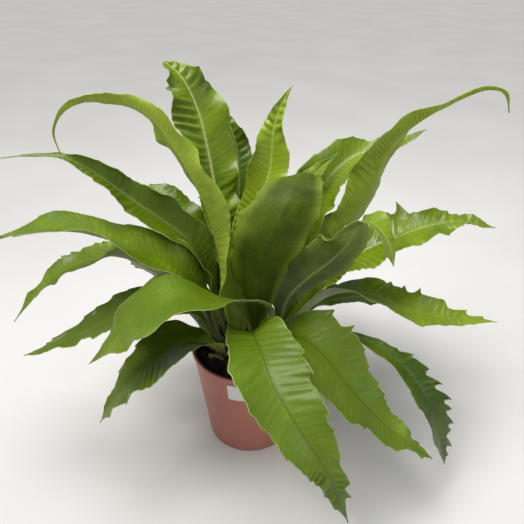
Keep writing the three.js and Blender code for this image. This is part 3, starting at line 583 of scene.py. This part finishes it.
def leaf_under(name, dark, mid, pale, rib_colour):
    """Duller underside: pale midrib, close side veins, spore lines, a whitish bloom that comes and goes, and a
    painted glow towards the margins.
    """
    n = Nodes(name)
    outward, share = n.field("outward"), n.field("share")
    fine = vein_waves(n, *FINE_VEINS)
    broad = vein_waves(n, *BROAD_VEINS)
    patches = n.noise(24.0, 5.0, 0.66)
    # The frond's tone is partly its own colour and partly painted shade and painted light.
    level = n.math("MULTIPLY_ADD", n.math("SUBTRACT", fine, 0.5), 0.10, n.field("tone"))
    level = n.math("MULTIPLY_ADD", level, 0.5, 0.5)
    level = n.math("MULTIPLY_ADD", n.math("SUBTRACT", patches, 0.5), 1.1, level, clamp=True)
    colour = n.mix(n.remap(level, 0.0, 0.55), dark, mid)
    colour = n.mix(n.remap(level, 0.55, 1.0), colour, pale)
    reach = n.math("ABSOLUTE", n.field("across"))
    lines = n.remap(vein_waves(n, *SPORE_LINES), 0.72, 0.95)
    lines = n.math("MULTIPLY", lines, n.remap(n.noise(38.0, 3.0), 0.4, 0.6))
    lines = n.math("MULTIPLY", lines, n.math("MULTIPLY", n.remap(reach, 0.05, 0.15), n.remap(reach, 0.8, 0.55)))
    colour = n.mix(n.math("MULTIPLY", lines, n.field("sori")), colour, SPORES)
    white = n.math("MULTIPLY", n.field("bloom"), n.remap(n.noise(55.0, 4.0, 0.6), 0.3, 0.65, 0.45, 0.95))
    colour = n.mix(white, colour, WHITE_BLOOM)
    rib_half = n.math("MULTIPLY_ADD", n.math("SUBTRACT", 1.0, share), 1.6, 0.6)
    band = n.remap(n.math("DIVIDE", outward, rib_half), 1.2, 0.7)
    colour = n.mix(n.math("MULTIPLY", band, n.field("rib"), clamp=True), colour, rib_colour)
    # Painted glow: the underside is lightened towards its margins to stand in for light shining through the thin
    # blade.
    painted_edge_glow = n.remap(reach, 0.6, 1.0)
    colour = n.mix(n.math("MULTIPLY", painted_edge_glow, 0.4), colour, pale)
    colour = n.mix(n.math("MULTIPLY", n.remap(share, 0.22, 0.0), 0.6), colour, STALK_UNDER)
    colour = n.mix(n.field("dry"), colour, BROWNED_UNDER)
    rough = n.remap(n.noise(80.0, 3.0), 0.3, 0.7, 0.5, 0.66)
    relief = n.math("MULTIPLY_ADD", broad, 0.4, n.math("MULTIPLY", fine, 0.3))
    relief = n.math("MULTIPLY_ADD", lines, n.math("MULTIPLY", n.field("sori"), 0.9), relief)
    return n.finish(Base_Color=colour, Roughness=rough, Normal=n.bump(relief, 0.0004, 0.8),
                    IOR=1.42, Specular_IOR_Level=0.2, Coat_Weight=0.04, Coat_Roughness=0.4)


def pot_plastic():
    """Satin dusty-rose plastic, slightly cloudy, with fine scuffs and dust towards the foot."""
    n = Nodes("rose_plastic")
    z = n.add("ShaderNodeSeparateXYZ", {0: n.place()}, out="Z")
    cloud = n.noise(14.0, 5.0, 0.6)
    grain = n.noise(900.0, 2.0)
    colour = n.mix(n.remap(cloud, 0.3, 0.7), POT_ROSE, POT_ROSE_LIGHT)
    dust = n.math("MULTIPLY", n.remap(n.noise(60.0, 5.0, 0.7), 0.5, 0.75), n.remap(z, 0.07, 0.0, 0.05, 0.3))
    colour = n.mix(dust, colour, POT_DUST)
    scuff = n.remap(n.noise(180.0, 6.0, 0.75, n.stretched(12.0)), 0.66, 0.78)
    colour = n.mix(n.math("MULTIPLY", scuff, 0.25), colour, POT_SCUFF)
    rough = n.remap(n.noise(50.0, 4.0), 0.3, 0.7, 0.36, 0.5)
    relief = n.math("ADD", n.math("MULTIPLY", grain, 0.35), n.math("MULTIPLY", scuff, 0.5))
    return n.finish(Base_Color=colour, Roughness=rough, Normal=n.bump(relief, 0.0002, 0.5),
                    IOR=1.49, Specular_IOR_Level=0.4)


def peat(name, dark, light):
    """Matt crumbly peat with paler flecks."""
    n = Nodes(name)
    lumps = n.noise(170.0, 6.0, 0.7)
    colour = n.mix(n.remap(lumps, 0.35, 0.72), dark, light)
    fleck = n.remap(n.noise(520.0, 2.0), 0.66, 0.74)
    colour = n.mix(n.math("MULTIPLY", fleck, 0.5), colour, PEAT_FLECK)
    rough = n.remap(n.noise(300.0), 0.3, 0.7, 0.72, 0.95)
    return n.finish(Base_Color=colour, Roughness=rough, Normal=n.bump(lumps, 0.0012, 0.9), IOR=1.4)


def fibre(name, dark, light, streak):
    """Fibrous matter with streaks that run along it."""
    n = Nodes(name)
    strands = n.noise(420.0, 5.0, 0.7, n.stretched(streak))
    colour = n.mix(n.remap(strands, 0.32, 0.7), dark, light)
    colour = n.mix(n.remap(n.noise(60.0), 0.45, 0.7, 0.0, 0.5), colour, dark)
    return n.finish(Base_Color=colour, Roughness=n.remap(strands, 0.3, 0.7, 0.6, 0.9),
                    Normal=n.bump(strands, 0.0008, 0.8), IOR=1.4)


def paper():
    """Matt white sticker with short fibres and faint stains."""
    n = Nodes("sticker_paper")
    fibres = n.noise(1500.0, 3.0, 0.7)
    stain = n.remap(n.noise(70.0, 3.0), 0.5, 0.75)
    colour = n.mix(n.math("MULTIPLY", fibres, 0.35), PAPER, PAPER_FIBRE)
    colour = n.mix(n.math("MULTIPLY", stain, 0.35), colour, PAPER_STAIN)
    return n.finish(Base_Color=colour, Roughness=n.remap(fibres, 0.3, 0.7, 0.55, 0.75),
                    Normal=n.bump(fibres, 0.00006, 0.6), IOR=1.5, Specular_IOR_Level=0.35)


# ---- Pot, soil, crown and sticker ----
def circle(sides):
    return np.linspace(0, 2 * math.pi, sides, endpoint=False)


def ring_points(profile, sides):
    """Rings of points about the z axis, one for each (radius, z) of the profile."""
    angle = circle(sides)
    return np.vstack([np.stack([r * np.cos(angle), r * np.sin(angle), np.full(sides, z)], 1) for r, z in profile])


def cap(row, sides):
    """One face across a ring of a grid."""
    return tuple(row * sides + k for k in range(sides))


def rounded(points, radius, steps=4):
    """A profile with each corner replaced by a short arc; the first and last points stay."""
    pts = [np.array(p, float) for p in points]
    out = [pts[0]]
    for a, b, c in zip(pts, pts[1:], pts[2:]):
        r = min(radius, 0.45 * np.linalg.norm(b - a), 0.45 * np.linalg.norm(c - b))
        start, end = b + unit(a - b) * r, b + unit(c - b) * r
        for t in np.linspace(0, 1, steps):
            out.append((1 - t) ** 2 * start + 2 * t * (1 - t) * b + t * t * end)
    return [tuple(p) for p in out + [pts[-1]]]


def outer_radius(z):
    """Radius of the pot's wall below its lip, measured outside."""
    return POT["base"] + (POT["top"] - POT["lip"] - POT["base"]) * z / POT["height"]


def make_pot(material):
    """Thin-walled pot with rounded corners, a lip, two shallow grooves at its foot and drain holes."""
    sides, groove_depth, corner = 160, 0.35, 0.7
    top, base, height, wall, hub = POT["top"], POT["base"], POT["height"], POT["wall"], POT["hub"]
    under = height - POT["lip_height"]
    grooves = []
    for z in (9.0, 12.5):
        grooves += [(outer_radius(z - 1), z - 1), (outer_radius(z) - groove_depth, z), (outer_radius(z + 1), z + 1)]
    profile = rounded(
        [(hub, 0), (base - 6, 0), (base - 0.2, 0), (outer_radius(3), 3)] + grooves
        + [(outer_radius(60), 60), (outer_radius(under), under), (top, under + 0.8), (top, height),
           (top - 2.4, height), (outer_radius(height - 4) - wall, height - 4), (outer_radius(40) - wall, 40),
           (outer_radius(POT["floor"]) - wall, POT["floor"]), (hub, POT["floor"])], corner)
    faces = grid_faces(len(profile), sides, wrap=True, flip=True)
    faces += [cap(0, sides)[::-1], cap(len(profile) - 1, sides)]
    pot = new_mesh("nursery_pot_moulded", ring_points(profile, sides), faces, [material])
    out = DRAIN_HOLES["out"] * MM
    for k in range(DRAIN_HOLES["count"]):
        angle = 2 * math.pi * k / DRAIN_HOLES["count"]
        bpy.ops.mesh.primitive_cylinder_add(vertices=32, radius=DRAIN_HOLES["radius"] * MM, depth=12 * MM,
                                            location=(out * math.cos(angle), out * math.sin(angle), 0))
        drill = bpy.context.object
        cut = pot.modifiers.new("drain", "BOOLEAN")
        cut.operation = "DIFFERENCE"
        cut.object = drill
        bpy.context.view_layer.objects.active = pot
        bpy.ops.object.modifier_apply(modifier="drain")
        bpy.data.objects.remove(drill)
    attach(pot, "root")
    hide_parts("nursery_pot")


def crumb(rng, size):
    """A rough lump: points and faces of a squashed, dented octahedron split once."""
    base = np.array([(1, 0, 0), (-1, 0, 0), (0, 1, 0), (0, -1, 0), (0, 0, 1), (0, 0, -1)], float)
    tris = [(0, 2, 4), (2, 1, 4), (1, 3, 4), (3, 0, 4), (2, 0, 5), (1, 2, 5), (3, 1, 5), (0, 3, 5)]
    pts, faces, middle = list(base), [], {}

    def mid(a, b):
        key = (min(a, b), max(a, b))
        if key not in middle:
            middle[key] = len(pts)
            pts.append(unit(pts[a] + pts[b]))
        return middle[key]

    for a, b, c in tris:
        ab, bc, ca = mid(a, b), mid(b, c), mid(c, a)
        faces += [(a, ab, ca), (b, bc, ab), (c, ca, bc), (ab, bc, ca)]
    pts = np.array(pts) * rng.uniform(0.7, 1.2, (len(pts), 1)) * rng.uniform(0.6, 1.2, 3) * size
    turn = rng.uniform(0, 2 * math.pi)
    c, s = math.cos(turn), math.sin(turn)
    return pts @ np.array([(c, s, 0), (-s, c, 0), (0, 0, 1)]), faces


def gather(parts):
    """Joins (points, faces) pairs into one pair."""
    points, faces, first = [], [], 0
    for p, f in parts:
        points.append(p)
        faces += [tuple(first + k for k in face) for face in f]
        first += len(p)
    return np.vstack(points), faces


def make_soil(material):
    """Lumpy surface that falls away towards the wall, strewn with crumbs, and the body of soil below it."""
    rng = np.random.default_rng(SEED_SOIL)
    rings, sides = 34, 120
    reach = outer_radius(SOIL_EDGE_Z) - POT["wall"] - 0.3
    slope_from = 0.82 * reach
    lumps = [(rng.uniform(0, 2 * math.pi), math.sqrt(rng.uniform(0, 1)) * reach, rng.uniform(3, 8),
              rng.uniform(-1, 1.6)) for _ in range(LUMPS)]
    angle = circle(sides)
    rows = []
    for i in range(rings):
        r = reach * (i / (rings - 1)) ** 0.8
        x, y = r * np.cos(angle), r * np.sin(angle)
        z = SOIL_TOP - (SOIL_TOP - SOIL_EDGE_Z) * smooth(slope_from, reach, r) * np.ones(sides)
        for a, d, size, h in lumps:
            gap = (x - d * math.cos(a)) ** 2 + (y - d * math.sin(a)) ** 2
            z = z + h * np.exp(-gap / size ** 2) * float(smooth(reach, reach - 4, r))
        rows.append(np.stack([x, y, z], 1))
    low = outer_radius(3) - POT["wall"] - 0.5
    rows.append(ring_points([(low, 2.6)], sides))
    parts = [(np.vstack(rows), grid_faces(rings + 1, sides, wrap=True) + [cap(rings, sides)])]
    for _ in range(CRUMBS):
        a, d = rng.uniform(0, 2 * math.pi), math.sqrt(rng.uniform(0.3, 1)) * (reach - 2.5)
        size = rng.uniform(0.5, 1.9) * (1.3 if rng.uniform() > 0.9 else 1)
        p, f = crumb(rng, size)
        drop = (SOIL_TOP - SOIL_EDGE_Z) * float(smooth(slope_from, reach, d))
        parts.append((p + np.array([d * math.cos(a), d * math.sin(a), SOIL_TOP - drop + 0.3 * size]), f))
    soil = new_mesh("potting_soil_crumbs", *gather(parts), [material])
    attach(soil, "root")
    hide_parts("potting_soil")


def tube(path, radii, sides):
    """Points and faces of a closed tube along a path."""
    path = np.asarray(path, float)
    along = unit(np.gradient(path, axis=0))
    helper = np.where(np.abs(along[:, 2:]) < 0.9, [[0, 0, 1.0]], [[1.0, 0, 0]])
    a = unit(np.cross(along, helper))
    b = np.cross(along, a)
    angle = circle(sides)
    ring = np.cos(angle)[None, :, None] * a[:, None, :] + np.sin(angle)[None, :, None] * b[:, None, :]
    points = (path[:, None, :] + ring * np.asarray(radii, float)[:, None, None]).reshape(-1, 3)
    faces = grid_faces(len(path), sides, wrap=True, flip=True)
    return points, faces + [cap(0, sides), cap(len(path) - 1, sides)[::-1]]


CROWN_FOOT = SOIL_TOP + 0.1
CROWN_RISE = CROWN_TOP - CROWN_FOOT


def crown_slope(d):
    """How much of the crown's height is there at a distance from its middle."""
    return float(smooth(CROWN_RADIUS, 18, d))


def crown_mound(rng):
    rings, sides = 26, 96
    bumps = [(rng.uniform(-38, 38), rng.uniform(-38, 38), rng.uniform(2.5, 5), rng.uniform(0.5, 3.2))
             for _ in range(CROWN_BUMPS)]
    angle = circle(sides)
    wobble = 1 + 0.06 * np.sin(5 * angle + 1) + 0.04 * np.sin(11 * angle)
    rows = []
    for i in range(rings):
        r = CROWN_RADIUS * i / (rings - 1)
        share = r / CROWN_RADIUS
        x, y = r * wobble * np.cos(angle), r * wobble * np.sin(angle)
        z = CROWN_FOOT + (CROWN_RISE + 0.5) * float(smooth(1, 0.55, share)) * np.ones(sides)
        for bx, by, size, h in bumps:
            z = z + h * np.exp(-((x - bx) ** 2 + (y - by) ** 2) / size ** 2) * float(smooth(1, 0.8, share))
        rows.append(np.stack([x, y, z], 1))
    rows.append(rows[-1] - [0, 0, 1.5])
    return np.vstack(rows), grid_faces(rings + 1, sides, wrap=True) + [cap(rings, sides)]


def old_stalk(rng):
    """Short pointed remains of a stalk, leaning outwards."""
    a, d = rng.uniform(0, 2 * math.pi), math.sqrt(rng.uniform(0.12, 1)) * OLD_STALKS_OUT
    lean = 0.35 + 0.5 * d / OLD_STALKS_OUT
    length = rng.uniform(9, 24) * (1.1 - 0.4 * d / OLD_STALKS_OUT)
    t = np.linspace(0, 1, 7)
    out = d + length * lean * t ** 1.4
    swing = a + rng.uniform(-0.25, 0.25) * t
    height = CROWN_FOOT + 2 + CROWN_RISE * crown_slope(d) * 0.8 + length * (1 - 0.5 * lean) * t
    path = np.stack([out * np.cos(swing), out * np.sin(swing), height], 1)
    return tube(path, rng.uniform(1.3, 2.6) * (1 - 0.72 * t ** 1.6), 7)


def hair(rng):
    a, d = rng.uniform(0, 2 * math.pi), math.sqrt(rng.uniform(0.05, 1)) * CROWN_RADIUS
    t = np.linspace(0, 1, 6)
    bend = rng.uniform(-1, 1, 3) * 4
    path = np.stack([d * math.cos(a) + bend[0] * t + bend[1] * t * t,
                     d * math.sin(a) + bend[1] * t - bend[0] * t * t,
                     CROWN_FOOT + 1 + CROWN_RISE * crown_slope(d) + rng.uniform(3, 9) * t * (1.2 - t)], 1)
    return tube(path, 0.28 * (1 - 0.7 * t), 4)


def torn_stalk(rng, bearing, distance, lean, length, width):
    """Flattened stalk that ends in a frayed edge."""
    sides = 14
    t = np.linspace(0, 1, 12)
    a, lean = math.radians(bearing), math.radians(lean)
    out = distance + length * math.sin(lean) * t ** 1.3
    path = np.stack([out * math.cos(a), out * math.sin(a), CROWN_FOOT + 4 + length * math.cos(lean) * t], 1)
    sway = 1.2 * np.sin(5 * t + bearing)
    path[:, 0] -= sway * math.sin(a)
    path[:, 1] += sway * math.cos(a)
    points, faces = tube(path, width * (1 - 0.35 * t), sides)
    ring = points.reshape(len(t), sides, 3)
    ring[:] = path[:, None] + (ring - path[:, None]) * [1, 1, 0.5]
    frayed = 3.5 * rng.uniform(-1, 0.4, sides)
    ring[-1, :, 2] += frayed
    ring[-2, :, 2] += 0.4 * frayed
    return ring.reshape(-1, 3), faces


def make_crown(mound_material, stub_material, hair_material, torn_material):
    """Mound of packed old stalk bases with brown hairs, under and between the living stalks."""
    rng = np.random.default_rng(SEED_CROWN)
    mound = crown_mound(rng)
    stubs = [old_stalk(rng) for _ in range(OLD_STALKS)]
    hairs = [hair(rng) for _ in range(HAIRS)]
    torn = [torn_stalk(rng, *row) for row in TORN_STALKS]
    made = [new_mesh("crown_mound", *mound, [mound_material]),
            new_mesh("crown_torn_stalks", *gather(torn), [torn_material]),
            new_mesh("crown_stalk_bases", *gather(stubs), [stub_material]),
            new_mesh("crown_hairs", *gather(hairs), [hair_material])]
    for ob in made:
        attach(ob, "root")
        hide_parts("crown")


def make_sticker(material):
    """Blank sticker with rounded corners that follows the wall, its lower right corner slightly lifted."""
    height, thick, corner = LABEL["height"], LABEL["thick"], LABEL["corner"]
    high = POT["height"] - LABEL["drop"]
    middle = math.radians(LABEL["bearing"])
    cols, rows = 40, 30
    points = []
    for face in (1, -1):
        for i in range(rows + 1):
            v = i / rows
            z = high - height * v
            inset = max(0, corner - min(v, 1 - v) * height)
            pull = corner - math.sqrt(max(0, corner ** 2 - inset ** 2))
            for j in range(cols + 1):
                u = j / cols
                x = (u - 0.5) * (LABEL["width"] - 2 * pull)
                lifted = LABEL["curl"] * float(smooth(0.55, 1.0, v)) * float(smooth(0.25, 0.5, u) * smooth(0.7, 1, u))
                r = outer_radius(z) + LABEL["gap"] + lifted + face * thick / 2
                angle = middle + x / outer_radius(high)
                points.append((r * math.cos(angle), r * math.sin(angle), z))
    across, n = cols + 1, (rows + 1) * (cols + 1)
    faces = grid_faces(rows + 1, across) + grid_faces(rows + 1, across, n, flip=True)
    rim = list(range(across)) + [i * across + cols for i in range(1, rows + 1)]
    rim += [rows * across + j for j in range(cols - 1, -1, -1)] + [i * across for i in range(rows - 1, 0, -1)]
    faces += [(n + b, n + a, a, b) for a, b in zip(rim, rim[1:] + rim[:1])]
    sticker = new_mesh("paper_label_sheet", points, faces, [material])
    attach(sticker, "root")
    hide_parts("paper_label")


# ---- Making it all ----
OVER = leaf_over("leaf_upper_face", (0.034, 0.068, 0.001), (0.096, 0.160, 0.003), (0.235, 0.335, 0.012),
                 (0.46, 0.52, 0.16), 0.34)
UNDER = leaf_under("leaf_underside", (0.034, 0.058, 0.001), (0.095, 0.142, 0.005), (0.290, 0.385, 0.040),
                   (0.30, 0.36, 0.09))
for seed, f in enumerate(FRONDS):
    blade_object(f, SEED_FRONDS + seed, OVER, UNDER)
make_pot(pot_plastic())
make_soil(peat("peat_crumbs", (0.006, 0.0035, 0.005), (0.030, 0.018, 0.020)))
make_crown(fibre("crown_matted_fibre", (0.012, 0.009, 0.005), (0.060, 0.045, 0.020), 0.3),
           fibre("old_stalk_bases", (0.050, 0.050, 0.018), (0.240, 0.230, 0.110), 0.15),
           fibre("crown_hair", (0.030, 0.018, 0.008), (0.120, 0.075, 0.035), 0.2),
           fibre("torn_stalk", (0.160, 0.150, 0.060), (0.480, 0.450, 0.300), 0.08))
make_sticker(paper())


# ---- Stage, light and camera ----
PLANT_MIDDLE = (0, 0, 0.2)
SENSOR_WIDTH = 36
FOCAL_PIXELS, FRAME_PIXELS = 503, 524
CAMERA_PLACE, CAMERA_TILT_DOWN = (0.014, -0.410, 0.466), 31.4


def make_floor():
    """Pale, faintly mottled floor just below the pot."""
    n = Nodes("pale_floor")
    colour = n.mix(n.remap(n.noise(3.0, 4.0), 0.3, 0.7), (0.71, 0.69, 0.675), (0.75, 0.735, 0.72))
    n.finish(Base_Color=colour, Roughness=0.8, Specular_IOR_Level=0.2)
    bpy.ops.mesh.primitive_plane_add(size=12, location=(0, 3, -0.0002))
    floor = bpy.context.object
    floor.name = "floor"
    floor.data.materials.append(n.material)


def hang(name, data, place, aim):
    """Puts a light in the scene, pointed at aim."""
    light = bpy.data.objects.new(name, data)
    bpy.context.scene.collection.objects.link(light)
    light.location = place
    light.rotation_euler = (Vector(aim) - Vector(place)).to_track_quat("-Z", "Y").to_euler()


def area_light(name, place, size, watts, colour):
    data = bpy.data.lights.new(name, "AREA")
    data.shape = "DISK"
    data.size, data.energy, data.color = size, watts, colour
    hang(name, data, place, PLANT_MIDDLE)


def sun_light(name, place, strength, softness, colour):
    data = bpy.data.lights.new(name, "SUN")
    data.energy, data.angle, data.color = strength, math.radians(softness), colour
    hang(name, data, place, (0, 0, 0))


make_floor()
sun_light("key", (-0.55, -0.25, 1.0), 1.7, 30, (1.0, 0.985, 0.95))
area_light("window", (-0.1, 0.05, 1.25), 0.7, 9, (1.0, 1.0, 0.98))
area_light("fill", (1.2, -1.0, 0.9), 1.0, 4, (0.95, 0.98, 1.0))
world = bpy.data.worlds.new("soft_studio")
world.use_nodes = True
background = world.node_tree.nodes["Background"].inputs
background["Color"].default_value = (0.80, 0.83, 0.86, 1)
background["Strength"].default_value = 0.39
bpy.context.scene.world = world
bpy.context.scene.view_settings.view_transform = "Standard"

camera_data = bpy.data.cameras.new("camera")
camera_data.sensor_width = SENSOR_WIDTH
camera_data.lens = SENSOR_WIDTH * FOCAL_PIXELS / FRAME_PIXELS
camera = bpy.data.objects.new("camera", camera_data)
camera.location = CAMERA_PLACE
camera.rotation_euler = (math.radians(90 - CAMERA_TILT_DOWN), 0, 0)
bpy.context.scene.collection.objects.link(camera)
bpy.context.scene.camera = camera
